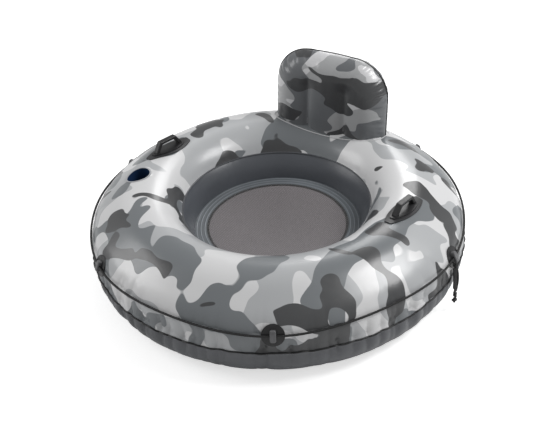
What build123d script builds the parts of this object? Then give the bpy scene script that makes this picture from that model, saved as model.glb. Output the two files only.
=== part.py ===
"""Ring-shaped river lounge tube: welded vinyl panels, mesh seat, backrest pillow, cup holder, handles and grab rope.

Frame in mm: the origin is on the ground under the middle of the ring, +Z is up, and +Y points towards the backrest.
"""

from build123d import *
import math
import os

os.makedirs("parts", exist_ok=True)

# ------------------------------------------------------------------ driving dimensions
skin = 1.2  # thickness of a vinyl panel with its liner
overall_radius = 675.0  # to the outer edge of the outer weld flange
seam_stand = 5.0  # how far a weld flange stands off the skin
seam_thick = 2.4  # two skins welded face to face

seam = (overall_radius - seam_stand, 132.0)  # radius and height of the outer seam
rim = (339.0, 246.0)  # inner seam, at the top of the seat well
ring_joint = (300.0, 153.0)  # where the floor ring meets the inner wall
crown = (465.0, 331.0)  # the tube's highest line
shoulder, shoulder_tilt = (664.0, 204.0), 22.0  # the line that the grab rope lies along
foot_outer, foot_inner = 556.0, 488.0  # flat stretch that the tube rests on
section_middle = (500.0, 160.0)
sectors = 12  # abutting solids that each ring-shaped skin is drawn as

mesh_radius, mesh_sag, mesh_thick = 268.0, 26.0, 1.0
ring_thick, ring_inner = 2.0, 257.0
hem_width, hem_thick = 8.0, 1.4

backrest_width, backrest_depth, backrest_height = 456.0, 136.0, 290.0
backrest_corner, backrest_round = 126.0, 58.0
backrest_x, backrest_y, backrest_lean = -10.0, 458.0, 6.0
backrest_base_z = 300.0
web_spacing, web_height, web_thick = 152.0, 230.0, 1.0

cup_angle, cup_orbit, cup_bore, cup_depth, cup_wall = 198.0, 507.0, 43.0, 105.0, 1.2

handle_angles = {"left": 176.0, "right": 5.0}
handle_headings = {"left": 70.0, "right": 78.0}  # which way each grip's long side points
handle_orbit = 476.0
base_length, base_width, base_end, base_thick = 188.0, 76.0, 26.0, 3.0
foot_scale, foot_thick = 0.74, 3.5
grip_height, grip_width, grip_bar, grip_leg = 44.0, 22.0, 11.0, 16.0
grip_foot, grip_top = 59.0, 35.0  # half lengths of the loop at its feet and at its top

holder_angles = {
    "front_left": -126.6, "front_right": -62.3, "right": 2.2,
    "rear_right": 64.1, "rear_left": 120.0, "left": 176.5,
}
patch_radius, patch_thick = 38.0, 2.0
rope, rope_gap = 8.0, 0.5
lug_width, lug_length, lug_wall = 20.0, 40.0, 3.8

gap = 0.3  # between pieces that move and their neighbours
valve_bore, valve_sleeve, valve_depth = 10.2, 12.0, 14.0
stem_travel, stem_wall = 12.0, 3.0


# ------------------------------------------------------------------ helpers
def polar(radius, angle, height):
    """A point of the frame from its radius, its angle in degrees and its height."""
    turn = math.radians(angle)
    return Vector(radius * math.cos(turn), radius * math.sin(turn), height)


def skin_plane(angle, radius, heading=None):
    """The plane that touches the tube's top at an angle and radius, +z outwards, +x level or along a heading."""
    low, high = 0.0, 1.0
    for _ in range(40):
        middle = (low + high) / 2
        low, high = (middle, high) if top_line.position_at(middle).X < radius else (low, middle)
    place, along = top_line.position_at(low), top_line.tangent_at(low)
    outward = polar(-along.Y, angle, along.X)
    forward = polar(1, angle + 90 if heading is None else heading, 0)
    return Plane(polar(place.X, angle, place.Y), x_dir=forward - outward * forward.dot(outward), z_dir=outward)


def shoulder_plane(angle):
    """The plane at the rope's line on the outer wall at an angle, +z outwards and +x level."""
    tilt = math.radians(shoulder_tilt)
    outward = polar(math.cos(tilt), angle, math.sin(tilt))
    return Plane(polar(shoulder[0], angle, shoulder[1]), x_dir=polar(1, angle + 90, 0), z_dir=outward)


def beyond(point):
    """A point well outside the tube's section, on the ray from its middle through a point."""
    return tuple(m + 2.2 * (p - m) for p, m in zip(point, section_middle))


def in_sectors(skin_ring):
    """A ring-shaped skin as abutting sectors, each a solid of its own, so that hulls can follow the ring."""
    pieces = []
    for number in range(sectors):
        start, end = (360 / sectors * (number + step) for step in (0, 1))
        with BuildPart() as sector:
            add(skin_ring)
            split(bisect_by=Plane((0, 0, 0), x_dir=(0, 0, 1), z_dir=polar(1, start + 90, 0)), keep=Keep.TOP)
            split(bisect_by=Plane((0, 0, 0), x_dir=(0, 0, 1), z_dir=polar(1, end + 90, 0)), keep=Keep.BOTTOM)
        pieces += sector.part.solids()
    return Compound(pieces)


def save(part, name):
    """Labels a finished sub-part and writes its STEP file."""
    part.label = name
    export_step(part, f"parts/{name}.step")


# ------------------------------------------------------------------ the tube's section
with BuildSketch(Plane.XZ) as section:
    with BuildLine():
        inner_slope = ThreePointArc(rim, (369, 291), crown)
        outer_slope = TangentArc(crown, (560, 303), tangent=(1, 0))
        upper_flank = Line((560, 303), (614, 266))
        flank = TangentArc((614, 266), shoulder, tangent=upper_flank % 1)
        ThreePointArc(shoulder, (669.5, 170), seam)
        TangentArc((foot_outer, 0), seam, tangent=(1, 0))
        Line((foot_outer, 0), (foot_inner, 0))
        TangentArc((foot_inner, 0), ring_joint, tangent=(-1, 0))
        ThreePointArc(ring_joint, (311, 200), rim)
    make_face()
top_line = Wire([inner_slope, outer_slope, upper_flank, flank])

with BuildPart() as core:
    add(section.sketch)
    revolve(axis=Axis.Z)


def layer(thickness):
    """The space within a thickness of the tube's outside, as one solid that includes the tube's inside."""
    with BuildPart() as coat:
        with BuildSketch(Plane.XZ):
            add(section.sketch_local)
            offset(amount=thickness)
        revolve(axis=Axis.Z)
    return coat.part


def panel(*corners):
    """One welded panel of the ring: the part of its skin inside a polygon of the section."""
    with BuildPart() as sheet:
        with BuildSketch(Plane.XZ):
            add(section.sketch_local)
            offset(amount=-skin, mode=Mode.SUBTRACT)
            with BuildLine():
                Polyline(*corners, close=True)
            make_face(mode=Mode.INTERSECT)
        revolve(axis=Axis.Z)
    return sheet.part


def flange(place, inner, outer, thickness):
    """A welded ring flange at a seam, cut to meet the skin."""
    with BuildPart() as strip:
        with BuildSketch(Plane.XZ):
            with Locations(((inner + outer) / 2, place[1])):
                Rectangle(outer - inner, thickness)
            add(section.sketch_local, mode=Mode.SUBTRACT)
        revolve(axis=Axis.Z)
    return strip.part


cup_plane = skin_plane(cup_angle, cup_orbit)
main_valve_plane = skin_plane(104.0, 598.0)

# ------------------------------------------------------------------ ring panels
whole_top = panel(section_middle, beyond(rim), (rim[0], 700), (900, 700), beyond(seam))
with BuildPart() as top_panel:
    add(whole_top)
    with BuildSketch(cup_plane.offset(-40)):
        Circle(cup_bore + cup_wall)
    extrude(amount=60, mode=Mode.SUBTRACT)
    with BuildSketch(main_valve_plane.offset(-20)):
        Circle(valve_sleeve + 0.1)
    extrude(amount=30, mode=Mode.SUBTRACT)
save(in_sectors(top_panel.part), "top_panel")

bottom_panel = panel(section_middle, beyond(seam), (1000, -200), (60, -200), beyond(ring_joint))
save(in_sectors(bottom_panel), "bottom_panel")
inner_wall = panel(section_middle, beyond(ring_joint), beyond(rim))
save(in_sectors(inner_wall), "inner_wall")
save(flange(seam, seam[0] - 12, overall_radius, seam_thick), "outer_seam_flange")
save(flange(rim, rim[0] - seam_stand, rim[0] + 8, seam_thick), "rim_seam_flange")

# ------------------------------------------------------------------ seat floor
save(flange(ring_joint, ring_inner, ring_joint[0] + 8, ring_thick), "floor_ring")
mesh_top = ring_joint[1] - ring_thick / 2

with BuildPart() as floor_mesh:
    with BuildSketch(Plane.XZ):
        with BuildLine():
            dish = Spline(
                (0, mesh_top - mesh_sag), (ring_inner - hem_width - 4, mesh_top), tangents=[(1, 0), (1, 0.12)],
            )
            flat = Line(dish @ 1, (mesh_radius, mesh_top))
            drop = Line(flat @ 1, flat @ 1 - Vector(0, mesh_thick))
            back = Line(drop @ 1, dish @ 1 - Vector(0, mesh_thick))
            under = Spline(back @ 1, (0, mesh_top - mesh_sag - mesh_thick), tangents=[(-1, -0.12), (-1, 0)])
            Line(under @ 1, dish @ 0)
        make_face()
    revolve(axis=Axis.Z)
save(floor_mesh.part, "floor_mesh")

with BuildPart() as mesh_hem:
    with BuildSketch(Plane.XY.offset(mesh_top)):
        Circle(ring_inner - gap)
        Circle(ring_inner - gap - hem_width, mode=Mode.SUBTRACT)
    extrude(amount=hem_thick)
save(mesh_hem.part, "mesh_hem")

# ------------------------------------------------------------------ backrest
skin_coat = layer(skin)
backrest_plane = Plane(
    (backrest_x, backrest_y, backrest_base_z), x_dir=(1, 0, 0), z_dir=(0, -1, 0),
).rotated((-backrest_lean, 0, 0))


def pillow(shrink):
    """The backrest's closed outer shape, made smaller on every side by shrink."""
    width, height = backrest_width - 2 * shrink, backrest_height + 20 - shrink
    with BuildPart() as shape:
        with BuildSketch(backrest_plane.offset(shrink - backrest_depth / 2)) as front:
            with Locations((0, height / 2 - 20)):
                Rectangle(width, height + 40)
            fillet(front.vertices().group_by(Axis.Y)[-1], backrest_corner - shrink)
        extrude(amount=backrest_depth - 2 * shrink)
        broad = shape.faces().sort_by(Axis(backrest_plane.origin, backrest_plane.z_dir))
        fillet(broad[0].edges() + broad[-1].edges(), backrest_round - shrink)
    return shape.part


def front_half(part, side):
    """The half of a part in front of the backrest's middle plane, or behind it for side -1."""
    with BuildPart() as block:
        with BuildSketch(backrest_plane):
            Rectangle(900, 1200)
        extrude(amount=300 * side)
    return part & block.part


pillow_outside = pillow(0)
pillow_inside = pillow(skin)
backrest_skin = pillow_outside - pillow_inside - skin_coat
backrest_valve_plane = Plane(
    backrest_plane.from_local_coords(Vector(150, 80, -backrest_depth / 2)),
    x_dir=(-1, 0, 0), z_dir=-backrest_plane.z_dir,
)

save(front_half(backrest_skin, 1), "backrest_front_panel")
whole_rear = front_half(backrest_skin, -1)
with BuildPart() as backrest_rear:
    add(whole_rear)
    with BuildSketch(backrest_valve_plane.offset(-10)):
        Circle(valve_sleeve + 0.1)
    extrude(amount=20, mode=Mode.SUBTRACT)
save(backrest_rear.part, "backrest_rear_panel")
save((pillow_outside & skin_coat) - core.part, "backrest_base_panel")

for side, offset_x in (("left", -web_spacing / 2), ("right", web_spacing / 2)):
    with BuildPart() as web:
        with BuildSketch(backrest_plane.offset(-backrest_depth / 2)):
            with Locations((offset_x, web_height / 2 - 40)):
                Rectangle(web_thick, web_height + 80)
        extrude(amount=backrest_depth)
    save((web.part & pillow_inside) - skin_coat, f"backrest_web_{side}")

with BuildPart() as seam_block:
    with BuildSketch(backrest_plane.offset(-seam_thick / 2)) as seam_outline:
        with Locations((0, (backrest_height + seam_stand) / 2)):
            Rectangle(backrest_width + 2 * seam_stand, backrest_height + 40 + seam_stand)
        fillet(seam_outline.vertices().group_by(Axis.Y)[-1], backrest_corner + seam_stand)
    extrude(amount=seam_thick)
save(seam_block.part - pillow_outside - skin_coat, "backrest_seam_flange")

# ------------------------------------------------------------------ cup holder
with BuildPart() as cup_sleeve:
    with BuildSketch(cup_plane.offset(-cup_depth - cup_wall)):
        Circle(cup_bore + cup_wall)
    extrude(amount=cup_depth + cup_wall - skin)
    with BuildSketch(cup_plane.offset(-cup_depth)):
        Circle(cup_bore)
    extrude(amount=cup_depth, mode=Mode.SUBTRACT)
    add(core.part, mode=Mode.INTERSECT)
save(cup_sleeve.part, "cup_holder_sleeve")

with BuildPart() as cup_rim:
    with BuildSketch(cup_plane.offset(-15)):
        Circle(cup_bore + 5)
        Circle(cup_bore, mode=Mode.SUBTRACT)
    extrude(amount=25)
    add(skin_coat, mode=Mode.INTERSECT)
    add(core.part, mode=Mode.SUBTRACT)
save(cup_rim.part, "cup_holder_rim")


# ------------------------------------------------------------------ carry handles
def boat(length, width, end):
    """A long outline with bowed sides and short straight ends."""
    with BuildSketch() as shape:
        with BuildLine():
            ThreePointArc((-length / 2, -end / 2), (0, -width / 2), (length / 2, -end / 2))
            Line((length / 2, -end / 2), (length / 2, end / 2))
            ThreePointArc((length / 2, end / 2), (0, width / 2), (-length / 2, end / 2))
            Line((-length / 2, end / 2), (-length / 2, -end / 2))
        make_face()
        fillet(shape.vertices(), 5)
    return shape.sketch


base_coat = layer(base_thick)
foot_coat = layer(base_thick + foot_thick)
base_outline = boat(base_length, base_width, base_end)
foot_outline = boat(foot_scale * base_length, foot_scale * base_width, foot_scale * base_end)
for side, angle in handle_angles.items():
    seat = skin_plane(angle, handle_orbit, handle_headings[side])
    with BuildPart() as handle_base:
        with BuildSketch(seat.offset(-25)):
            add(base_outline)
        extrude(amount=50)
        add(base_coat, mode=Mode.INTERSECT)
        add(core.part, mode=Mode.SUBTRACT)
    save(handle_base.part, f"{side}_handle_base")

    with BuildPart() as handle_foot:
        with BuildSketch(seat.offset(-25)):
            add(foot_outline)
        extrude(amount=50)
        add(foot_coat, mode=Mode.INTERSECT)
        add(base_coat, mode=Mode.SUBTRACT)
    loop_plane = Plane(seat.origin, x_dir=seat.x_dir, z_dir=-seat.y_dir)
    with BuildPart() as handle_grip:
        with BuildSketch(loop_plane.offset(-grip_width / 2)) as loop:
            for foot, top, height in (
                (grip_foot, grip_top, grip_height),
                (grip_foot - grip_leg, grip_top - grip_leg / 2, grip_height - grip_bar),
            ):
                with BuildLine():
                    Polyline(
                        (-foot, -12), (-foot, 8), (-top, height), (top, height), (foot, 8), (foot, -12), close=True,
                    )
                make_face(mode=Mode.ADD if foot == grip_foot else Mode.SUBTRACT)
            fillet(loop.vertices().filter_by(lambda v: v.Y > 0), 6)
        extrude(amount=grip_width)
        broad = handle_grip.faces().sort_by(Axis(loop_plane.origin, loop_plane.z_dir))
        fillet(broad[0].edges() + broad[-1].edges(), 3)
        add(base_coat, mode=Mode.SUBTRACT)
        add(handle_foot.part)
    save(handle_grip.part, f"{side}_handle_grip")

# ------------------------------------------------------------------ rope holders and grab rope
patch_coat = layer(patch_thick)
rope_stand = patch_thick + rope / 2 + rope_gap
for name, angle in holder_angles.items():
    seat = shoulder_plane(angle)
    with BuildPart() as patch:
        with BuildSketch(seat.offset(-20)):
            Circle(patch_radius)
        extrude(amount=40)
        add(patch_coat, mode=Mode.INTERSECT)
        add(core.part, mode=Mode.SUBTRACT)
    save(patch.part, f"rope_patch_{name}")

    with BuildPart() as lug:
        with BuildSketch(seat.offset(-6)):
            RectangleRounded(lug_width, lug_length, 6)
        extrude(amount=6 + rope_stand + rope / 2 + lug_wall)
        fillet(lug.faces().sort_by(lambda f: seat.to_local_coords(f.center()).Z)[-1].edges(), 4)
        add(patch_coat, mode=Mode.SUBTRACT)
        with BuildSketch(Plane(seat.offset(rope_stand).origin, x_dir=seat.y_dir, z_dir=seat.x_dir)):
            Circle(rope / 2 + rope_gap)
        extrude(amount=lug_width, both=True, mode=Mode.SUBTRACT)
    save(lug.part, f"rope_lug_{name}")

rope_seat = shoulder_plane(0).offset(rope_stand)
rope_radius, rope_height = rope_seat.origin.X, rope_seat.origin.Z
with BuildPart() as grab_rope:
    with BuildSketch(Plane.XZ):
        with Locations((rope_radius, rope_height)):
            Circle(rope / 2)
    revolve(axis=Axis.Z)
save(grab_rope.part, "grab_rope")

# ------------------------------------------------------------------ rope ends at the right-hand holder
tails = {
    "long": [(684, -3, 187.5), (688, -6, 160.5), (690, -9, 133), (690, -8, 105.5), (687.5, -5, 78.5)],
    "loop": [(684.5, 6, 187.5), (688.5, 9.5, 160.5), (690.5, 12, 133), (690, 10, 106), (687.5, 6.5, 79.5)],
    "short": [(682.5, -11.5, 188), (687.5, -17.5, 163), (690, -22.5, 137), (690, -21.5, 111.5)],
}


def cord_tube(points, diameter):
    """A cord's solid: straight runs joined by tangent arcs as large as their runs allow."""
    path = [Vector(*p) for p in points]
    radii = []
    for before, here, after in zip(path, path[1:], path[2:]):
        turn = math.radians((here - before).get_angle(after - here))
        shorter = min((here - before).length, (after - here).length)
        radii.append(0.45 * shorter / math.tan(turn / 2))
    with BuildPart() as tube:
        with BuildLine() as route:
            line = FilletPolyline(*path, radius=radii)
        with BuildSketch(Plane(line @ 0, z_dir=line % 0)):
            Circle(diameter / 2)
        sweep(path=route.wires()[0])
    print("radii", [round(r) for r in radii], "length", round(line.length, 1),
          "volume share", round(tube.part.volume / (math.pi * diameter**2 / 4 * line.length), 4))
    return tube.part


for name, points in tails.items():
    save(cord_tube(points, rope), f"rope_tail_{name}")

knots = {"rope_knot": ((681.5, -2, 198), 11.5), "tail_knot_upper": ((687, 1, 67), 12.0),
         "tail_knot_lower": ((686, 0, 43), 11.0)}
for name, (place, size) in knots.items():
    with BuildPart(Plane(place)) as knot:
        Sphere(size)
    save(knot.part, name)


# ------------------------------------------------------------------ inflation valves
def valve(name, seat, wall):
    """An inflation valve in four pieces on a plane that touches the skin, with +z outwards."""
    boss, lip, stem_end = 4.0, 1.6, -valve_depth - stem_travel - 3.0
    with BuildPart() as body:
        with BuildSketch(seat.offset(-5)):
            Circle(26)
        extrude(amount=7)
        with BuildSketch(seat.offset(-5)):
            Circle(16)
        extrude(amount=5 + boss)
        add(wall, mode=Mode.SUBTRACT)
        with BuildSketch(seat.offset(-valve_depth)):
            Circle(valve_sleeve)
        extrude(amount=valve_depth + boss)
        with BuildSketch(seat.offset(-valve_depth)):
            Circle(valve_bore)
        extrude(amount=valve_depth + boss, mode=Mode.SUBTRACT)
    save(body.part, f"{name}_flange")

    stem_radius = valve_bore - 0.1
    with BuildPart() as stem:
        with BuildSketch(seat.offset(stem_end)):
            Circle(stem_radius)
        extrude(amount=boss + gap - stem_end)
        with BuildSketch(seat.offset(boss + gap)):
            Circle(14)
        extrude(amount=lip)
        with BuildSketch(seat.offset(stem_end)):
            Circle(stem_radius + 1.6)
        extrude(amount=2)
        with BuildSketch(seat.offset(stem_end)):
            Circle(stem_radius - stem_wall)
        extrude(amount=boss + gap + lip - stem_end, mode=Mode.SUBTRACT)
    save(stem.part, f"{name}_stem")

    top = boss + gap + lip
    with BuildPart() as plug:
        with BuildSketch(seat.offset(top + gap)):
            Circle(13)
            with Locations((-14, 0)):
                Rectangle(8, 6)
        extrude(amount=2)
        with BuildSketch(seat.offset(top + gap)):
            Circle(stem_radius - stem_wall - gap)
        extrude(amount=-4.5, taper=9)
        with BuildSketch(seat.offset(top + gap + 2)):
            with Locations((11, 0)):
                Rectangle(8, 7)
        extrude(amount=1.4)
    save(plug.part, f"{name}_plug")

    with BuildPart() as flap:
        with BuildSketch(seat.offset(stem_end - gap)):
            Circle(stem_radius - 1)
        extrude(amount=-1)
    save(flap.part, f"{name}_flap")
    for label, height in (("plug hinge", top + gap), ("flap hinge", stem_end - gap)):
        spot = seat.from_local_coords(Vector(-18 if label == "plug hinge" else 1 - stem_radius, 0, height))
        print(name, label, [round(v / 1000, 5) for v in spot])
    print(name, "axis", [round(v, 6) for v in seat.z_dir], "hinge line", [round(v, 6) for v in seat.y_dir])


valve("main_valve", main_valve_plane, core.part)
valve("backrest_valve", backrest_valve_plane, pillow_outside)

print("cup mouth", cup_plane.origin, "axis", cup_plane.z_dir)
print("rope ring", rope_radius, rope_height)
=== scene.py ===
"""Looks of a river lounge tube: inflated printed ring, mesh seat, backrest pillow, grips, grab rope and valves.

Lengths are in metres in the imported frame: +Z is up, and +Y points towards the backrest.
"""

import logging
import math
from dataclasses import dataclass, field
from enum import Enum

import bpy
import numpy as np
from mathutils import Euler, Matrix, Vector


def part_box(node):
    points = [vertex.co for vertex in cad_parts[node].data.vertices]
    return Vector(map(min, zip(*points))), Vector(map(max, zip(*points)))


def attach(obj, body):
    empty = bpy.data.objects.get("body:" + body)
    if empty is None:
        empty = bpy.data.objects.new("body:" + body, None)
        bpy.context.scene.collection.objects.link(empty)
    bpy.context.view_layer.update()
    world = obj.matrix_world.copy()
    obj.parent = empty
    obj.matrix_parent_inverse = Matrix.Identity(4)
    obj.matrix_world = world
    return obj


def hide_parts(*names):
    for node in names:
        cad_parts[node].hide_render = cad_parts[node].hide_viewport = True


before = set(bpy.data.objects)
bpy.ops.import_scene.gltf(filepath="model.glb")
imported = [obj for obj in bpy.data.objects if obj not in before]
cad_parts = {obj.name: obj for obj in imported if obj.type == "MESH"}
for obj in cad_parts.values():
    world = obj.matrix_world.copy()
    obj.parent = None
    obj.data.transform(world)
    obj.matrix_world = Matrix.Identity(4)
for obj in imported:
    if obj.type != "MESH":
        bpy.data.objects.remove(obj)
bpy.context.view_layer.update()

log = logging.getLogger("lounge_tube")
MM = 0.001
Point = tuple[float, float, float]


# ---------------------------------------------------------------------------- section of the ring
RIM = (0.339, 0.246)
CROWN = (0.465, 0.331)
SLOPE = (0.560, 0.303)
FLANK = (0.614, 0.266)
SHOULDER = (0.664, 0.204)
SEAM = (0.670, 0.132)
FOOT_OUTER = (0.556, 0.0)
FOOT_INNER = (0.488, 0.0)
RING_JOINT = (0.300, 0.153)


class Side(Enum):
    """The two printed or plain halves of the ring's skin."""

    TOP = "top"
    BOTTOM = "bottom"


def arc(start: tuple, through: tuple, end: tuple, steps: int = 24) -> list[tuple]:
    """Points of the circular arc through three points of the section.

    Args:
        start: First point (radius, height).
        through: A point on the arc.
        end: Last point.
        steps: How many spans the arc is drawn with.

    Returns:
        The points from start to end, both included.
    """
    (ax, ay), (bx, by), (cx, cy) = start, through, end
    d = 2 * (ax * (by - cy) + bx * (cy - ay) + cx * (ay - by))
    ux = ((ax**2 + ay**2) * (by - cy) + (bx**2 + by**2) * (cy - ay) + (cx**2 + cy**2) * (ay - by)) / d
    uy = ((ax**2 + ay**2) * (cx - bx) + (bx**2 + by**2) * (ax - cx) + (cx**2 + cy**2) * (bx - ax)) / d
    radius = math.hypot(ax - ux, ay - uy)
    angles = np.unwrap([math.atan2(y - uy, x - ux) for x, y in (start, through, end)])
    turn = np.linspace(angles[0], angles[2], steps + 1)
    return [(ux + radius * math.cos(t), uy + radius * math.sin(t)) for t in turn]


def smooth_line(points: list[tuple], spacing: float, passes: int) -> np.ndarray:
    """An evenly spaced, softened copy of a line of section points.

    Args:
        points: The line's points.
        spacing: Distance between the new points.
        passes: How often each inner point moves to the mean of its neighbours.

    Returns:
        The new points, one row each, with the ends kept.
    """
    line = np.array(points)
    along = np.concatenate([[0], np.cumsum(np.linalg.norm(np.diff(line, axis=0), axis=1))])
    even = np.linspace(0, along[-1], max(3, round(along[-1] / spacing)) + 1)
    out = np.stack([np.interp(even, along, line[:, k]) for k in (0, 1)], axis=1)
    for _ in range(passes):
        out[1:-1] = (out[:-2] + 2 * out[1:-1] + out[2:]) / 4
    return out


# ---------------------------------------------------------------------------- mesh helpers
def only(obj: bpy.types.Object) -> None:
    """Selects one object and makes it the active one."""
    bpy.ops.object.select_all(action="DESELECT")
    obj.select_set(True)
    bpy.context.view_layer.objects.active = obj


def coords(obj: bpy.types.Object) -> np.ndarray:
    """An object's vertex places as an array with one row each."""
    flat = np.empty(len(obj.data.vertices) * 3)
    obj.data.vertices.foreach_get("co", flat)
    return flat.reshape(-1, 3)


def set_coords(obj: bpy.types.Object, places: np.ndarray) -> None:
    """Moves an object's vertices to the rows of an array."""
    obj.data.vertices.foreach_set("co", np.ascontiguousarray(places).ravel())
    obj.data.update()


def grid(name: str, columns: int, rows: int) -> tuple[bpy.types.Object, np.ndarray, np.ndarray]:
    """A flat unit grid, ready to be wrapped into a skin.

    Args:
        name: The piece's name.
        columns: Faces along the first direction.
        rows: Faces along the second direction.

    Returns:
        The object, and each vertex's two places from 0 to 1.
    """
    bpy.ops.object.select_all(action="DESELECT")
    bpy.ops.mesh.primitive_grid_add(x_subdivisions=columns, y_subdivisions=rows, size=1, location=(0, 0, 0))
    obj = bpy.context.active_object
    obj.name = name
    flat = coords(obj)
    return obj, flat[:, 0] + 0.5, flat[:, 1] + 0.5


def close_skin(obj: bpy.types.Object, distance: float = 1e-5) -> None:
    """Welds a wrapped grid's meeting edges, turns its faces outwards and shades it smooth."""
    only(obj)
    bpy.ops.object.mode_set(mode="EDIT")
    bpy.ops.mesh.select_all(action="SELECT")
    bpy.ops.mesh.remove_doubles(threshold=distance)
    bpy.ops.mesh.normals_make_consistent(inside=False)
    bpy.ops.object.mode_set(mode="OBJECT")
    bpy.ops.object.shade_smooth()


def bead(name: str, points: list, radius: float, closed: bool, sides: int = 3) -> bpy.types.Object:
    """A round bead or rope along points, as a finished mesh.

    Args:
        name: The piece's name.
        points: The centreline's points.
        radius: Half its thickness.
        closed: Whether the line closes on itself.
        sides: Bevel resolution of the round section.

    Returns:
        The mesh object.
    """
    curve = bpy.data.curves.new(name, "CURVE")
    curve.dimensions = "3D"
    curve.bevel_depth, curve.bevel_resolution, curve.resolution_u = radius, sides, 2
    curve.use_fill_caps = not closed
    line = curve.splines.new("NURBS")
    line.points.add(len(points) - 1)
    for spot, place in zip(line.points, points):
        spot.co = (*place, 1)
    line.order_u, line.use_cyclic_u, line.use_endpoint_u = 3, closed, not closed
    obj = bpy.data.objects.new(name, curve)
    bpy.context.scene.collection.objects.link(obj)
    only(obj)
    bpy.ops.object.convert(target="MESH")
    bpy.ops.object.shade_smooth()
    return bpy.context.active_object


def paint(obj: bpy.types.Object, material: bpy.types.Material) -> None:
    """Gives an object one material in all of its slots."""
    if not obj.data.materials:
        obj.data.materials.append(material)
    for slot in obj.material_slots:
        slot.material = material


def paint_nodes(names: list[str], material: bpy.types.Material) -> None:
    """Gives carried-over CAD pieces a material and smooth shading by angle."""
    for name in names:
        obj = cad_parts[name]
        only(obj)
        bpy.ops.object.shade_smooth_by_angle(angle=math.radians(32))
        paint(obj, material)


# ---------------------------------------------------------------------------- finishes
class Shader:
    """A small builder for one node material around a Principled shader."""

    def __init__(self, name: str, roughness: float, **constants: float) -> None:
        """Starts the material and sets the shader's constant sockets."""
        self.material = bpy.data.materials.new(name)
        self.material.use_nodes = True
        self.tree = self.material.node_tree
        self.tree.nodes.clear()
        self.out = self.tree.nodes.new("ShaderNodeOutputMaterial")
        self.skin = self.tree.nodes.new("ShaderNodeBsdfPrincipled")
        self.tree.links.new(self.skin.outputs[0], self.out.inputs["Surface"])
        self.skin.inputs["Roughness"].default_value = roughness
        for key, value in constants.items():
            self.skin.inputs[key.replace("_", " ").title().replace("Ior", "IOR")].default_value = value
        self.place = self.tree.nodes.new("ShaderNodeTexCoord")

    def node(self, kind: str, inputs: dict | None = None, **settings: object) -> bpy.types.Node:
        """Adds a node, sets its properties and fills or links its inputs.

        Args:
            kind: The node type after "ShaderNode".
            inputs: Values or output sockets by input name or number.
            **settings: Node properties.

        Returns:
            The new node.
        """
        made = self.tree.nodes.new("ShaderNode" + kind)
        for key, value in settings.items():
            setattr(made, key, value)
        for key, value in (inputs or {}).items():
            if isinstance(value, bpy.types.NodeSocket):
                self.tree.links.new(value, made.inputs[key])
            else:
                made.inputs[key].default_value = value
        return made

    def math(self, operation: str, *values: object) -> bpy.types.NodeSocket:
        """The output of a Math node over values or sockets."""
        return self.node("Math", dict(enumerate(values)), operation=operation).outputs[0]

    def noise(self, scale: float, detail: float = 2.0, where: object = None, **more: float) -> bpy.types.NodeSocket:
        """A noise value over the object's own coordinates."""
        where = where or self.place.outputs["Object"]
        return self.node("TexNoise", {"Vector": where, "Scale": scale, "Detail": detail, **more}).outputs["Fac"]

    def ramp(self, value: bpy.types.NodeSocket, low: float, high: float) -> bpy.types.NodeSocket:
        """A value stretched so that low becomes 0 and high becomes 1, held within them."""
        return self.node("MapRange", {"Value": value, "From Min": low, "From Max": high}).outputs[0]

    def mix(self, factor: object, first: object, second: object) -> bpy.types.NodeSocket:
        """A colour mixed from two colours or colour sockets."""
        made = self.node("Mix", data_type="RGBA")
        for key, value in ((0, factor), (6, first), (7, second)):
            if isinstance(value, bpy.types.NodeSocket):
                self.tree.links.new(value, made.inputs[key])
            else:
                made.inputs[key].default_value = value if key == 0 else (*value, 1)
        return made.outputs[2]

    def turned(self, angles: Point, scale: Point, shift: Point) -> bpy.types.NodeSocket:
        """The object's coordinates, turned, stretched and moved."""
        settings = {"Vector": self.place.outputs["Object"], "Rotation": angles, "Scale": scale, "Location": shift}
        return self.node("Mapping", settings).outputs[0]

    def finish(
        self, colour: object, rough: object = None, height: object = None, depth: float = MM
    ) -> bpy.types.Material:
        """Links colour, roughness and bump height, and returns the material."""
        if isinstance(colour, bpy.types.NodeSocket):
            self.tree.links.new(colour, self.skin.inputs["Base Color"])
        else:
            self.skin.inputs["Base Color"].default_value = (*colour, 1)
        if rough is not None:
            self.tree.links.new(rough, self.skin.inputs["Roughness"])
        if height is not None:
            bump = self.node("Bump", {"Height": height, "Distance": depth, "Strength": 1.0})
            self.tree.links.new(bump.outputs[0], self.skin.inputs["Normal"])
        return self.material


@dataclass(frozen=True)
class CamoPatch:
    """One tone of the print: where its soft-edged patches lie and how much they cover."""

    colour: Point
    scale: float
    cover: float
    turn: Point
    stretch: Point
    shift: Point


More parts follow.
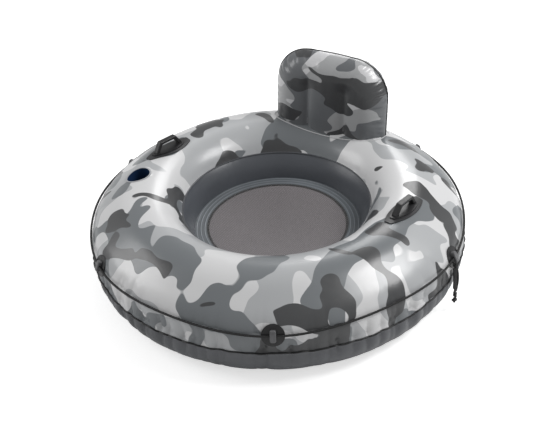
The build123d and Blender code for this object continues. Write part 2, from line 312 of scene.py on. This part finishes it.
@dataclass(frozen=True)
class CamoVinyl:
    """Satin vinyl printed with layered grey patches."""

    name: str
    ground: Point
    patches: tuple[CamoPatch, ...]

    def material(self) -> bpy.types.Material:
        """Builds the finish."""
        s = Shader(self.name, 0.3, specular_ior_level=0.5, coat_weight=0.25, coat_roughness=0.18)
        colour: object = self.ground
        for patch in self.patches:
            where = s.turned(patch.turn, patch.stretch, patch.shift)
            wobble = s.node("TexNoise", {"Vector": where, "Scale": patch.scale * 1.7, "Detail": 0.0}).outputs["Color"]
            moved = s.node(
                "VectorMath", {0: where, 1: s.node("VectorMath", {0: wobble, "Scale": 0.11}, operation="SCALE").outputs[0]},
                operation="ADD",
            ).outputs[0]
            blob = s.noise(patch.scale, 0.35, moved, Roughness=0.5)
            mask = s.ramp(blob, patch.cover, patch.cover + 0.006)
            colour = s.mix(mask, colour, patch.colour)
        shade = s.ramp(s.noise(3.0, 1.0), 0.3, 0.7)
        colour = s.mix(s.math("MULTIPLY", shade, 0.08), colour, (0.45, 0.46, 0.47))
        grain = s.noise(900.0, 2.0)
        scuffs = s.noise(38.0, 6.0)
        rough = s.math("ADD", 0.24, s.math("MULTIPLY", scuffs, 0.16))
        height = s.math("ADD", s.math("MULTIPLY", grain, 0.05), s.math("MULTIPLY", s.noise(14.0, 2.0), 0.6))
        return s.finish(colour, rough, height, 1.2 * MM)


@dataclass(frozen=True)
class PlainVinyl:
    """Satin one-colour vinyl with a fine grain and faint stress lines."""

    name: str
    colour: Point
    roughness: float = 0.34
    weld_pitch: float = 0.0

    def material(self) -> bpy.types.Material:
        """Builds the finish; a weld pitch adds concentric weld lines."""
        s = Shader(self.name, self.roughness, specular_ior_level=0.5)
        cloud = s.ramp(s.noise(5.0, 3.0), 0.3, 0.7)
        darker = tuple(0.82 * c for c in self.colour)
        colour = s.mix(cloud, darker, self.colour)
        height = s.math("ADD", s.math("MULTIPLY", s.noise(700.0, 2.0), 0.06), s.math("MULTIPLY", s.noise(20.0), 0.5))
        if self.weld_pitch:
            apart = s.node("SeparateXYZ", {0: s.place.outputs["Object"]})
            across = s.math("SQRT", s.math("ADD", s.math("POWER", apart.outputs[0], 2.0),
                                           s.math("POWER", apart.outputs[1], 2.0)))
            wave = s.math("SINE", s.math("MULTIPLY", across, 2 * math.pi / self.weld_pitch))
            ridge = s.ramp(wave, 0.55, 1.0)
            height = s.math("ADD", height, ridge)
            colour = s.mix(s.math("MULTIPLY", ridge, 0.5), colour, tuple(min(1, 2.2 * c) for c in self.colour))
        rough = s.math("ADD", self.roughness - 0.07, s.math("MULTIPLY", s.noise(45.0, 5.0), 0.14))
        return s.finish(colour, rough, height, MM)


@dataclass(frozen=True)
class WovenMesh:
    """Diagonal mesh of round yarns, open on the real thing; here the holes are not cut, and their colour is painted
    shade, standing in for the shaded floor seen through them.
    """

    name: str
    yarn: Point
    hole_shade: Point
    pitch: float

    def material(self) -> bpy.types.Material:
        """Builds the finish."""
        s = Shader(self.name, 0.75, sheen_weight=0.3, sheen_roughness=0.5)
        where = s.turned((0, 0, math.radians(38)), (1, 1, 1), (0, 0, 0))
        apart = s.node("SeparateXYZ", {0: where})
        waves = [
            s.math("ABSOLUTE", s.math("SINE", s.math("MULTIPLY", apart.outputs[k], math.pi / self.pitch)))
            for k in (0, 1)
        ]
        yarns = s.math("MINIMUM", *waves)
        weave = s.ramp(yarns, 0.12, 0.5)
        fade = s.ramp(s.noise(4.0, 2.0), 0.3, 0.7)
        # The holes' colour is painted shade: it stands in for the shaded floor seen through them.
        colour = s.mix(weave, self.yarn, self.hole_shade)
        colour = s.mix(s.math("MULTIPLY", fade, 0.22), colour, tuple(0.6 * c for c in self.yarn))
        height = s.math("SUBTRACT", 1.0, weave)
        return s.finish(colour, None, height, 0.8 * MM)


@dataclass(frozen=True)
class Moulded:
    """Moulded plastic with a fine spark texture, worn lighter in broad patches."""

    name: str
    colour: Point
    roughness: float

    def material(self) -> bpy.types.Material:
        """Builds the finish."""
        s = Shader(self.name, self.roughness, specular_ior_level=0.5)
        worn = s.ramp(s.noise(26.0, 5.0), 0.45, 0.75)
        colour = s.mix(s.math("MULTIPLY", worn, 0.5), self.colour, tuple(1.9 * c + 0.004 for c in self.colour))
        rough = s.math("ADD", self.roughness - 0.08, s.math("MULTIPLY", s.noise(60.0, 4.0), 0.18))
        height = s.math("ADD", s.noise(1400.0, 2.0), s.math("MULTIPLY", s.noise(120.0, 3.0), 0.5))
        return s.finish(colour, rough, height, 0.12 * MM)


@dataclass(frozen=True)
class Braid:
    """Braided cord, with its plaits laid along the piece's own map; the grooves between the plaits get painted shade
    and their crests a painted highlight.
    """

    name: str
    colour: Point
    length: float
    pitch: float = 0.009

    def material(self) -> bpy.types.Material:
        """Builds the finish for a cord of this length."""
        s = Shader(self.name, 0.55)
        apart = s.node("SeparateXYZ", {0: s.place.outputs["UV"]})
        along = s.math("MULTIPLY", apart.outputs[0], 2 * math.pi * self.length / self.pitch)
        around = s.math("MULTIPLY", apart.outputs[1], 2 * math.pi * 2)
        lays = [s.math("SINE", s.math(way, along, around)) for way in ("ADD", "SUBTRACT")]
        plait_relief_and_shade = s.ramp(s.math("MULTIPLY", *lays), -0.7, 0.8)
        # Painted shade in the grooves between the plaits and a painted highlight on their crests: the colour follows
        # the plaits' relief.
        colour = s.mix(plait_relief_and_shade, tuple(0.4 * c for c in self.colour), tuple(1.5 * c + 0.003 for c in self.colour))
        return s.finish(colour, None, plait_relief_and_shade, 0.9 * MM)


GREY_CAMO = CamoVinyl(
    "grey_camo_vinyl",
    (0.66, 0.66, 0.665),
    (
        CamoPatch((0.42, 0.43, 0.44), 5.4, 0.50, (0.3, 0.2, 0.6), (1.0, 1.35, 1.2), (3.1, 0.4, 1.0)),
        CamoPatch((0.155, 0.168, 0.178), 5.8, 0.545, (0.1, 0.5, 1.9), (1.3, 0.9, 1.1), (7.3, 2.2, 5.0)),
        CamoPatch((0.040, 0.041, 0.043), 6.2, 0.605, (0.4, 0.1, 2.7), (0.9, 1.35, 1.2), (1.7, 9.4, 3.0)),
    ),
)
# A darker copy of the camo print for the backrest: its darkness is painted shade, as the pillow's front faces away from
# the light.
SHADED_CAMO = CamoVinyl(
    "shaded_camo_vinyl",
    (0.36, 0.365, 0.37),
    (
        CamoPatch((0.60, 0.60, 0.61), 7.0, 0.60, (0.2, 0.3, 0.4), (1.0, 1.2, 1.6), (2.0, 5.0, 1.0)),
        CamoPatch((0.12, 0.127, 0.135), 6.6, 0.49, (0.1, 0.4, 1.2), (1.0, 1.2, 1.5), (8.0, 1.5, 6.0)),
        CamoPatch((0.035, 0.036, 0.038), 7.0, 0.56, (0.3, 0.2, 0.9), (1.0, 1.2, 1.6), (4.5, 2.5, 2.0)),
    ),
)


# ---------------------------------------------------------------------------- sub-assemblies
@dataclass
class Puckers:
    """Gathers along a welded seam: each one pulls the skin in, and they fade away from the seam."""

    count: int
    seed: int
    depth: float
    reach: float
    width: float
    sharp: float = 2.0
    centres: np.ndarray = field(init=False)

    def __post_init__(self) -> None:
        """Draws each pucker's place, strength, width and reach."""
        draw = np.random.default_rng(self.seed)
        self.centres = (np.arange(self.count) + draw.uniform(-0.38, 0.38, self.count)) / self.count
        self.strength = draw.uniform(0.35, 1.0, self.count)
        self.spread = draw.uniform(0.6, 1.5, self.count) * self.width
        self.far = draw.uniform(0.5, 1.5, self.count) * self.reach

    def pull(self, along: np.ndarray, away: np.ndarray) -> np.ndarray:
        """How far the skin is pulled in.

        Args:
            along: Place along the closed seam, from 0 to 1.
            away: Distance from the seam, in metres.

        Returns:
            Depths in metres, one for each point.
        """
        total = np.zeros_like(along)
        for centre, strength, spread, far in zip(self.centres, self.strength, self.spread, self.far):
            off = np.abs((along - centre + 0.5) % 1 - 0.5)
            total += strength * np.exp(-((off / spread) ** self.sharp)) * np.exp(-((away / far) ** 2))
        return self.depth * total


@dataclass
class RingSkin:
    """The inflated ring: printed top, plain bottom, and the black weld seam that joins them."""

    columns: int = 720
    spacing: float = 0.008
    wave: float = 0.0028
    cup_hole: float = 0.0452
    seam_puckers: Puckers = field(default_factory=lambda: Puckers(100, 5, 0.0215, 0.066, 0.0030, 1.1))
    rim_puckers: Puckers = field(default_factory=lambda: Puckers(60, 11, 0.0018, 0.018, 0.005))

    def seam_lift(self, along: np.ndarray) -> np.ndarray:
        """How far the seam wanders up and down round the ring."""
        turn = 2 * math.pi * along
        return self.wave * (
            0.4 * np.sin(23 * turn + 0.4) + 0.35 * np.sin(47 * turn + 2.0) + 0.3 * np.sin(79 * turn + 1.1)
        ) - 0.2 * self.seam_puckers.pull(along, np.zeros_like(along)) + 0.003

    def profile(self, side: Side) -> np.ndarray:
        """The section line of one half, from the inside of the ring to the outer seam."""
        if side is Side.TOP:
            line = arc(RIM, (0.369, 0.291), CROWN) + arc(CROWN, (0.5138, 0.3241), SLOPE)
            line += [FLANK] + arc(FLANK, (0.6435, 0.2387), SHOULDER) + arc(SHOULDER, (0.6695, 0.170), SEAM)
        else:
            line = arc(RING_JOINT, (0.3669, 0.0430), FOOT_INNER) + arc(FOOT_OUTER, (0.6432, 0.0399), SEAM)
        return smooth_line(line, self.spacing, 4)

    def half(self, side: Side) -> bpy.types.Object:
        """Wraps one half of the skin round the ring and puckers it at its seams."""
        line = self.profile(side)
        obj, along, up = grid(f"{side.value}_skin", self.columns, len(line) - 1)
        steps = up * (len(line) - 1)
        radius = np.interp(steps, np.arange(len(line)), line[:, 0])
        height = np.interp(steps, np.arange(len(line)), line[:, 1])
        slope = np.gradient(line, axis=0)
        slope /= np.linalg.norm(slope, axis=1)[:, None]
        out_r = np.interp(steps, np.arange(len(line)), -slope[:, 1])
        out_z = np.interp(steps, np.arange(len(line)), slope[:, 0])
        if side is Side.BOTTOM:
            out_r, out_z = -out_r, -out_z
        lengths = np.concatenate([[0], np.cumsum(np.linalg.norm(np.diff(line, axis=0), axis=1))])
        place = np.interp(steps, np.arange(len(line)), lengths)
        to_seam = lengths[-1] - place
        pull = self.seam_puckers.pull(along, to_seam) * np.clip(to_seam / 0.012, 0, 1)
        if side is Side.TOP:
            pull += self.rim_puckers.pull(along, place) * np.clip(place / 0.004, 0, 1)
        pull = np.where(height < 0.012, 0, pull)
        lift = self.seam_lift(along) * np.exp(-((to_seam / 0.03) ** 2))
        radius = radius - pull * out_r
        radius -= 0.30 * self.seam_puckers.pull(along, np.full_like(along, 0.01)) * np.clip(1 - to_seam / 0.008, 0, 1)
        height = height - pull * out_z + lift
        turn = 2 * math.pi * along
        set_coords(obj, np.stack([radius * np.cos(turn), radius * np.sin(turn), height], axis=1))
        close_skin(obj)
        return obj

    def open_cup(self, obj: bpy.types.Object, mouth: Vector, axis: Vector) -> None:
        """Takes out the faces over the cup holder and draws the edge of the hole round."""
        only(obj)
        bpy.ops.object.mode_set(mode="EDIT")
        bpy.ops.mesh.select_mode(type="FACE")
        bpy.ops.mesh.select_all(action="DESELECT")
        bpy.ops.object.mode_set(mode="OBJECT")
        mesh = obj.data
        for polygon in mesh.polygons:
            off = Vector(polygon.center) - mouth
            polygon.select = abs(off.dot(axis)) < 0.03 and (off - axis * off.dot(axis)).length < self.cup_hole
        bpy.ops.object.mode_set(mode="EDIT")
        bpy.ops.mesh.delete(type="FACE")
        bpy.ops.mesh.select_mode(type="VERT")
        bpy.ops.object.mode_set(mode="OBJECT")
        for vertex in mesh.vertices:
            off = vertex.co - mouth
            flat = off - axis * off.dot(axis)
            if abs(off.dot(axis)) < 0.03 and flat.length < self.cup_hole + 0.006:
                vertex.co += flat.normalized() * (self.cup_hole - flat.length)

    def seam_strip(self) -> bpy.types.Object:
        """The black weld flange, which wanders with the seam."""
        obj, along, across = grid("outer_seam_strip", 4 * self.columns, 8)
        turn, ring = 2 * math.pi * along, 2 * math.pi * across
        pull = self.seam_puckers.pull(along, np.full_like(along, 0.01))
        radius = SEAM[0] + 0.0012 + 0.0036 * np.cos(ring) - 0.30 * pull
        height = SEAM[1] + self.seam_lift(along) + 0.0028 * np.sin(ring)
        set_coords(obj, np.stack([radius * np.cos(turn), radius * np.sin(turn), height], axis=1))
        close_skin(obj)
        return obj

    def build(self, camo: bpy.types.Material, dark: bpy.types.Material, weld: bpy.types.Material) -> None:
        """Builds and dresses the ring's two halves and the seam between them."""
        top = self.half(Side.TOP)
        low, high = (Vector(corner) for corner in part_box("cup_holder_rim"))
        mouth = (low + high) / 2
        self.open_cup(top, mouth, Vector((-0.228044, -0.074096, 0.970827)))
        bottom = self.half(Side.BOTTOM)
        strip = self.seam_strip()
        for piece, node, slot, finish in (
            (top, "top_panel", "camo_vinyl", camo),
            (bottom, "bottom_panel", "base_vinyl", dark),
            (strip, "outer_seam_flange", "weld_seam", weld),
        ):
            paint(piece, finish)
            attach(piece, "tube")
            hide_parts(node)
            log.info("ring: %s has %d faces", piece.name, len(piece.data.polygons))


@dataclass
class Backrest:
    """The backrest pillow: two bulging panels, two sewn-down weld lines and a puckered weld seam."""

    origin: Point = (-0.011, 0.458, 0.300)
    lean: float = math.radians(6)
    width: float = 0.456
    top: float = 0.309
    bottom: float = 0.004
    depth: float = 0.136
    corner: float = 0.130
    roll: float = 0.088
    webs: tuple[float, float] = (-0.076, 0.076)
    web_top: float = 0.232
    puckers: Puckers = field(default_factory=lambda: Puckers(64, 21, 0.0085, 0.034, 0.0042, 1.3))

    def world(self, x: np.ndarray, up: np.ndarray, out: np.ndarray) -> np.ndarray:
        """Points of the frame from the pillow's own right, up and forward distances."""
        sine, cosine = math.sin(self.lean), math.cos(self.lean)
        return np.stack([
            self.origin[0] + x,
            self.origin[1] + up * sine - out * cosine,
            self.origin[2] + up * cosine + out * sine,
        ], axis=1)

    def outline(self, across: np.ndarray, rise: np.ndarray) -> tuple[np.ndarray, np.ndarray]:
        """Maps a unit square to the pillow's outline with round top corners."""
        x = 0.5 * self.width * np.sin(0.5 * math.pi * (2 * across - 1))
        v = self.bottom + (self.top - self.bottom) * np.sin(0.5 * math.pi * rise)
        inner_x, inner_v = self.width / 2 - self.corner, self.top - self.corner
        p = np.clip((np.abs(x) - inner_x) / self.corner, 0, 1)
        q = np.clip((v - inner_v) / self.corner, 0, 1)
        both = (p > 0) & (q > 0)
        x = np.where(both, np.sign(x) * (inner_x + self.corner * p * np.sqrt(1 - q**2 / 2)), x)
        v = np.where(both, inner_v + self.corner * q * np.sqrt(1 - p**2 / 2), v)
        arch = 0.014 * (x / (self.width / 2)) ** 2 * np.clip(v / self.top, 0, 1) ** 2
        return x, v - arch

    def half(self, front: bool) -> bpy.types.Object:
        """One panel of the pillow, bulging away from the seam."""
        name = "backrest_front_skin" if front else "backrest_rear_skin"
        obj, across, rise = grid(name, 120, 96)
        x, v = self.outline(across, rise)
        inner_x, inner_v = self.width / 2 - self.corner, self.top - self.corner
        qx, qv = np.abs(x) - inner_x, v + 0.014 * (x / (self.width / 2)) ** 2 - inner_v
        edge = self.corner - np.hypot(np.maximum(qx, 0), np.maximum(qv, 0)) - np.minimum(np.maximum(qx, qv), 0)
        edge = np.clip(edge, 0, None)
        bulge = np.sqrt(np.clip(1 - (1 - np.clip(edge / self.roll, 0, 1)) ** 2, 0, 1))
        bulge *= 1 - 0.10 * np.exp(-((v / 0.045) ** 2))
        sag = np.zeros_like(x)
        for web in self.webs:
            fade = np.clip((self.web_top - v) / 0.05, 0, 1)
            sag = np.maximum(sag, np.exp(-(np.abs(x - web) / 0.017) ** 1.3) * fade * (3 - 2 * fade) * fade)
        belly = 1 + 0.05 * np.cos(2 * math.pi * x / (self.webs[1] - self.webs[0]))
        out = self.depth / 2 * bulge * (belly - 0.17 * sag)
        round_seam = (np.arctan2(x / self.width, (v - 0.12) / self.top) / (2 * math.pi)) % 1
        at_corner = np.clip(qx / self.corner + 0.6, 0, 1) * np.clip(qv / self.corner + 1.0, 0.25, 1)
        pull = self.puckers.pull(round_seam, edge) * np.clip(edge / 0.004, 0, 1) * (0.25 + 0.75 * at_corner)
        out -= np.where(edge > 0, pull, 0)
        out = np.where(edge <= 0, 0, np.maximum(out, 0.0004))
        set_coords(obj, self.world(x, v, out if front else -out))
        return obj

    def seam_line(self) -> list:
        """The line of the weld seam round the pillow, from base to base."""
        ends = [(0.0, t) for t in np.linspace(0, 1, 40)] + [(t, 1.0) for t in np.linspace(0, 1, 60)[1:]]
        ends += [(1.0, t) for t in np.linspace(1, 0, 40)[1:]]
        across, rise = np.array(ends).T
        x, v = self.outline(across, rise)
        return [tuple(p) for p in self.world(x * 1.004, v + 0.0008, np.zeros_like(x))]

    def web(self, name: str, x: float) -> bpy.types.Object:
        """One inner web, a thin upright sheet that ties the front panel to the rear one."""
        bpy.ops.object.select_all(action="DESELECT")
        bpy.ops.mesh.primitive_cube_add(size=1, location=(0, 0, 0))
        obj = bpy.context.active_object
        obj.name = name
        unit = coords(obj)
        up = 0.028 + (unit[:, 2] + 0.5) * (self.web_top - 0.07)
        set_coords(obj, self.world(x + unit[:, 0] * MM, up, unit[:, 1] * 0.76 * self.depth))
        return obj

    def build(self, camo: bpy.types.Material, weld: bpy.types.Material, pale: bpy.types.Material,
              sheet: bpy.types.Material) -> None:
        """Builds and dresses the pillow, its webs, its seam and the weld line round its foot."""
        front, rear = self.half(True), self.half(False)
        left, right = self.web("web_sheet_left", self.webs[0]), self.web("web_sheet_right", self.webs[1])
        seam = bead("backrest_seam_bead", self.seam_line(), 0.0016, closed=False)
        foot = self.foot_line()
        for piece in (front, rear):
            close_skin(piece)
        self.face_out(front, -1)
        self.face_out(rear, 1)
        for piece, node, slot, finish in (
            (front, "backrest_front_panel", "camo_vinyl", camo),
            (rear, "backrest_rear_panel", "camo_vinyl", camo),
            (seam, "backrest_seam_flange", "weld_seam", weld),
            (foot, "backrest_base_panel", "pale_weld", pale),
            (left, "backrest_web_left", "web_vinyl", sheet),
            (right, "backrest_web_right", "web_vinyl", sheet),
        ):
            paint(piece, finish)
            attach(piece, "tube")
            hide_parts(node)
            log.info("backrest: %s has %d faces", piece.name, len(piece.data.polygons))

    @staticmethod
    def face_out(obj: bpy.types.Object, way: int) -> None:
        """Turns a panel's faces round if they point into the pillow."""
        total = sum(polygon.normal.y * polygon.area for polygon in obj.data.polygons)
        if total * way < 0:
            only(obj)
            bpy.ops.object.mode_set(mode="EDIT")
            bpy.ops.mesh.select_all(action="SELECT")
            bpy.ops.mesh.flip_normals()
            bpy.ops.object.mode_set(mode="OBJECT")

    def foot_line(self) -> bpy.types.Object:
        """The pale weld bead round the pillow's foot, laid on the ring's top."""
        top = RingSkin().profile(Side.TOP)
        points = []
        for turn in np.linspace(0, 2 * math.pi, 120, endpoint=False):
            c, s = math.cos(turn), math.sin(turn)
            x = self.origin[0] + (self.width / 2 + 0.002) * math.copysign(abs(c) ** 0.42, c)
            y = self.origin[1] + 0.003 + 0.072 * math.copysign(abs(s) ** 0.55, s)
            z = float(np.interp(math.hypot(x, y), top[:, 0], top[:, 1]))
            points.append((x, y, z + 0.0012))
        return bead("backrest_foot_bead", points, 0.0017, closed=True)


@dataclass
class SeatFloor:
    """The mesh floor, carried by the welded ring; the ring and the floor's binding are dressed with the carried-over
    pieces.
    """

    sag: float = 0.026
    hem: float = 0.245

    def build(self, mesh: bpy.types.Material) -> None:
        """Builds and dresses the mesh floor as one dished sheet."""
        low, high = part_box("floor_mesh")
        radius = (high[0] - low[0]) / 2
        bpy.ops.object.select_all(action="DESELECT")
        bpy.ops.mesh.primitive_circle_add(vertices=128, radius=radius, fill_type="NOTHING", location=(0, 0, high[2]))
        obj = bpy.context.active_object
        obj.name = "mesh_floor"
        bpy.ops.object.mode_set(mode="EDIT")
        for inner in (0.9, 0.86, 0.84, 0.82, 0.8, 0.78, 0.74, 0.68, 0.56, 0.35):
            bpy.ops.mesh.extrude_region_move()
            bpy.ops.transform.resize(value=(inner, inner, 1), center_override=(0, 0, high[2]))
        bpy.ops.mesh.merge(type="CENTER")
        bpy.ops.object.mode_set(mode="OBJECT")
        bpy.ops.object.transform_apply(location=True, rotation=True, scale=True)
        places = coords(obj)
        off = np.hypot(places[:, 0], places[:, 1])
        places[:, 2] = high[2] - self.sag * np.clip(1 - (off / self.hem) ** 2, 0, 1) - 0.0003
        set_coords(obj, places)
        close_skin(obj)
        if sum(p.normal.z for p in obj.data.polygons) < 0:
            obj.data.flip_normals()
        paint(obj, mesh)
        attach(obj, "tube")
        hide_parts("floor_mesh")
        log.info("seat: %s is %.3f m across", obj.name, 2 * radius)


@dataclass
class RopeWork:
    """The grab rope, its knots and the three strands that hang at the right-hand holder."""

    thick: float = 0.008
    radius: float = 0.67003
    height: float = 0.20643
    holders: tuple[float, ...] = (-126.6, -62.3, 2.2, 64.1, 120.0, 176.5)
    rise: float = 0.012
    lean: float = 0.62

    def ring_points(self) -> list:
        """The rope's line: it is pulled taut, so it rides up the tube a little between the holders."""
        stops = sorted(math.radians(a) % (2 * math.pi) for a in self.holders)
        stops = [stops[-1] - 2 * math.pi] + stops + [stops[0] + 2 * math.pi]
        points = []
        for turn in np.linspace(0, 2 * math.pi, 360, endpoint=False):
            before = max(s for s in stops if s <= turn)
            after = min(s for s in stops if s > turn)
            share = (turn - before) / (after - before)
            rise = self.rise * math.sin(math.pi * share) ** 2
            wide = self.radius - self.lean * rise
            points.append((wide * math.cos(turn), wide * math.sin(turn), self.height + rise))
        return points

    def strand(self, name: str, route: list[Point]) -> bpy.types.Object:
        """One hanging strand as a NURBS curve through its control points."""
        curve = bpy.data.curves.new(name, "CURVE")
        curve.dimensions = "3D"
        curve.bevel_depth, curve.bevel_resolution, curve.resolution_u = self.thick / 2, 4, 24
        curve.use_fill_caps = True
        line = curve.splines.new("NURBS")
        line.points.add(len(route) - 1)
        for spot, place in zip(line.points, route):
            spot.co = (*place, 1)
        line.order_u, line.use_endpoint_u = 3, True
        obj = bpy.data.objects.new(name, curve)
        bpy.context.scene.collection.objects.link(obj)
        return obj

    def knot(self, name: str, node: str, turn: float) -> bpy.types.Object:
        """An overhand knot pulled tight, about as large as its CAD ball."""
        low, high = (np.array(corner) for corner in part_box(node))
        middle, size = (low + high) / 2, (high - low).max() / 2 - 0.0044
        angles = np.linspace(0, 2 * math.pi, 48, endpoint=False)
        shape = np.stack([
            np.sin(angles) + 2 * np.sin(2 * angles), -1.1 * np.sin(3 * angles), np.cos(angles) - 2 * np.cos(2 * angles),
        ], axis=1) / 3
        spun = shape @ np.array(Matrix.Rotation(turn, 3, "Z"))
        return bead(name, [tuple(middle + size * p) for p in spun], 0.0041, closed=True, sides=4)

    def build(self, braid: bpy.types.Material, short_braid: bpy.types.Material) -> None:
        """Builds and dresses the rope, its strands and its knots."""
        rope = bead("grab_rope_braid", self.ring_points(), self.thick / 2, closed=True, sides=4)
        knots = [
            self.knot("rope_tie", "rope_knot", 0.3),
            self.knot("strand_knot_upper", "tail_knot_upper", 1.2),
            self.knot("strand_knot_lower", "tail_knot_lower", 2.0),
        ]
        strands = [
            (self.strand("long_strand", [(0.684, -0.003, 0.1875), (0.688, -0.006, 0.1605), (0.690, -0.009, 0.133),
                                         (0.690, -0.008, 0.1055), (0.6875, -0.005, 0.0785)]),
             "rope_tail_long", 0.1099, "knot", knots),
            (self.strand("loop_strand", [(0.6845, 0.006, 0.1875), (0.6885, 0.0095, 0.1605), (0.6905, 0.012, 0.133),
                                         (0.690, 0.010, 0.106), (0.6875, 0.0065, 0.0795)]),
             "rope_tail_loop", 0.109, "object", []),
            (self.strand("short_strand", [(0.6825, -0.0115, 0.188), (0.6875, -0.0175, 0.163),
                                          (0.690, -0.0225, 0.137), (0.690, -0.0215, 0.1115)]),
             "rope_tail_short", 0.0782, "bare", []),
        ]
        dressed = [(rope, "grab_rope", braid)]
        dressed += list(zip(knots, ("rope_knot", "tail_knot_upper", "tail_knot_lower"), [short_braid] * 3))
        dressed += [(s[0], s[1], short_braid) for s in strands]
        for piece, node, finish in dressed:
            paint(piece, finish)
            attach(piece, "tube")
            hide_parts(node)
            log.info("rope: %s", piece.name)


@dataclass
class CarriedOver:
    """CAD pieces whose shape is right: they only get their finish."""

    def build(self) -> None:
        """Dresses every carried-over piece."""
        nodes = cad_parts
        groups = {
            # The well's wall is darker than the floor ring's vinyl: partly its own slate tone, partly painted shade of
            # the well.
            PlainVinyl("well_vinyl", (0.085, 0.092, 0.105)).material(): ["inner_wall"],
            PlainVinyl("ring_vinyl", (0.15, 0.165, 0.18), weld_pitch=0.0145).material(): ["floor_ring"],
            PlainVinyl("rim_weld", (0.10, 0.105, 0.115)).material(): ["rim_seam_flange"],
            PlainVinyl("pale_rim", (0.42, 0.43, 0.45)).material(): ["cup_holder_rim"],
            PlainVinyl("cup_blue", (0.012, 0.032, 0.085), 0.3).material(): ["cup_holder_sleeve"],
            Moulded("handle_flange", (0.026, 0.026, 0.028), 0.42).material(): [n for n in nodes if "handle_base" in n],
            Moulded("handle_black", (0.016, 0.016, 0.017), 0.36).material(): [n for n in nodes if "handle_grip" in n],
            Moulded("patch_black", (0.014, 0.014, 0.015), 0.4).material(): [n for n in nodes if "rope_patch" in n],
            Moulded("lug_grey", (0.10, 0.10, 0.105), 0.42).material(): [n for n in nodes if "rope_lug" in n],
            Moulded("valve_grey", (0.42, 0.44, 0.46), 0.38).material():
                [n for n in nodes if "valve" in n and not n.endswith("flap")],
            Moulded("flap_grey", (0.20, 0.21, 0.22), 0.6).material(): [n for n in nodes if n.endswith("flap")],
            WovenMesh("binding_web", (0.012, 0.012, 0.012), (0.03, 0.03, 0.03), 0.0022).material(): ["mesh_hem"],
        }
        for material, names in groups.items():
            paint_nodes(names, material)
            log.info("carried over: %s on %s", material.name, ", ".join(names))


@dataclass
class Studio:
    """Plain floor, soft lights and the camera."""

    eye: Point = (1.6599, -2.8017, 2.5141)
    aim: Point = (0.0071, 0.0042, 0.1913)
    roll: float = math.radians(-3.1)
    lens: float = 71.4

    def floor(self) -> None:
        """A wide white floor that keeps the shadow."""
        bpy.ops.object.select_all(action="DESELECT")
        bpy.ops.mesh.primitive_plane_add(size=60, location=(0, 0, 0))
        obj = bpy.context.active_object
        obj.name = "studio_floor"
        material = bpy.data.materials.new("studio_white")
        material.use_nodes = True
        tree = material.node_tree
        tree.nodes.clear()
        out, sum_, soft, glow, path, gain = (
            tree.nodes.new("ShaderNode" + kind)
            for kind in ("OutputMaterial", "AddShader", "BsdfDiffuse", "Emission", "LightPath", "Math")
        )
        soft.inputs["Color"].default_value = (0.86, 0.86, 0.86, 1)
        gain.operation = "MULTIPLY"
        gain.inputs[1].default_value = 0.60
        tree.links.new(path.outputs["Is Camera Ray"], gain.inputs[0])
        tree.links.new(gain.outputs[0], glow.inputs["Strength"])
        tree.links.new(soft.outputs[0], sum_.inputs[0])
        tree.links.new(glow.outputs[0], sum_.inputs[1])
        tree.links.new(sum_.outputs[0], out.inputs["Surface"])
        paint(obj, material)

    def light(self, name: str, place: Point, size: float, power: float) -> None:
        """One square soft light aimed at the object."""
        data = bpy.data.lights.new(name, "AREA")
        data.shape, data.size, data.energy = "SQUARE", size, power
        obj = bpy.data.objects.new(name, data)
        obj.location = place
        obj.rotation_euler = (Vector((0, 0, 0.2)) - Vector(place)).to_track_quat("-Z", "Y").to_euler()
        bpy.context.scene.collection.objects.link(obj)

    def camera(self) -> None:
        """The camera at the viewing angle of a standing person in front, a little to the right."""
        data = bpy.data.cameras.new("camera")
        data.lens, data.sensor_width, data.clip_end = self.lens, 36, 200
        obj = bpy.data.objects.new("camera", data)
        obj.location = self.eye
        look = (Vector(self.aim) - Vector(self.eye)).to_track_quat("-Z", "Y")
        obj.rotation_euler = (look.to_matrix() @ Euler((0, 0, self.roll)).to_matrix()).to_euler()
        bpy.context.scene.collection.objects.link(obj)
        bpy.context.scene.camera = obj

    def build(self) -> None:
        """Sets up the camera, the lights, the world and the floor."""
        self.camera()
        self.floor()
        self.light("key", (2.4, 1.0, 3.0), 1.5, 82)
        self.light("fill", (-3.4, -1.2, 2.2), 2.0, 48)
        self.light("back", (-0.8, 3.4, 2.8), 1.6, 48)
        scene = bpy.context.scene
        scene.view_settings.view_transform = "Standard"
        world = bpy.data.worlds.new("studio_world")
        scene.world = world
        world.use_nodes = True
        tree = world.node_tree
        back, path = tree.nodes["Background"], tree.nodes.new("ShaderNodeLightPath")
        back.inputs["Color"].default_value = (1, 1, 1, 1)
        strength = tree.nodes.new("ShaderNodeMath")
        strength.operation = "MULTIPLY_ADD"
        strength.inputs[1].default_value = 0.60
        strength.inputs[2].default_value = 0.40
        tree.links.new(path.outputs["Is Camera Ray"], strength.inputs[0])
        tree.links.new(strength.outputs[0], back.inputs["Strength"])


def main() -> None:
    """Builds the studio and every sub-assembly in order."""
    logging.basicConfig(level=logging.INFO, format="%(message)s")
    Studio().build()
    black = Moulded("weld_black", (0.006, 0.006, 0.0065), 0.45).material()
    pale = PlainVinyl("pale_weld", (0.70, 0.70, 0.71)).material()
    RopeWork().build(
        Braid("grab_braid", (0.006, 0.006, 0.0065), 4.17).material(),
        Braid("strand_braid", (0.012, 0.012, 0.013), 0.12).material(),
    )
    RingSkin().build(GREY_CAMO.material(), PlainVinyl("base_vinyl", (0.115, 0.12, 0.13)).material(), black)
    # The backrest's print is the darker copy, whose darkness is painted shade.
    Backrest().build(SHADED_CAMO.material(), black, pale, PlainVinyl("web_sheet", (0.40, 0.41, 0.42)).material())
    # The seat mesh's second colour is the painted shade in its holes.
    SeatFloor().build(WovenMesh("seat_mesh", (0.30, 0.275, 0.285), (0.10, 0.09, 0.095), 0.0055).material())
    CarriedOver().build()


if __name__ == "__main__":
    main()
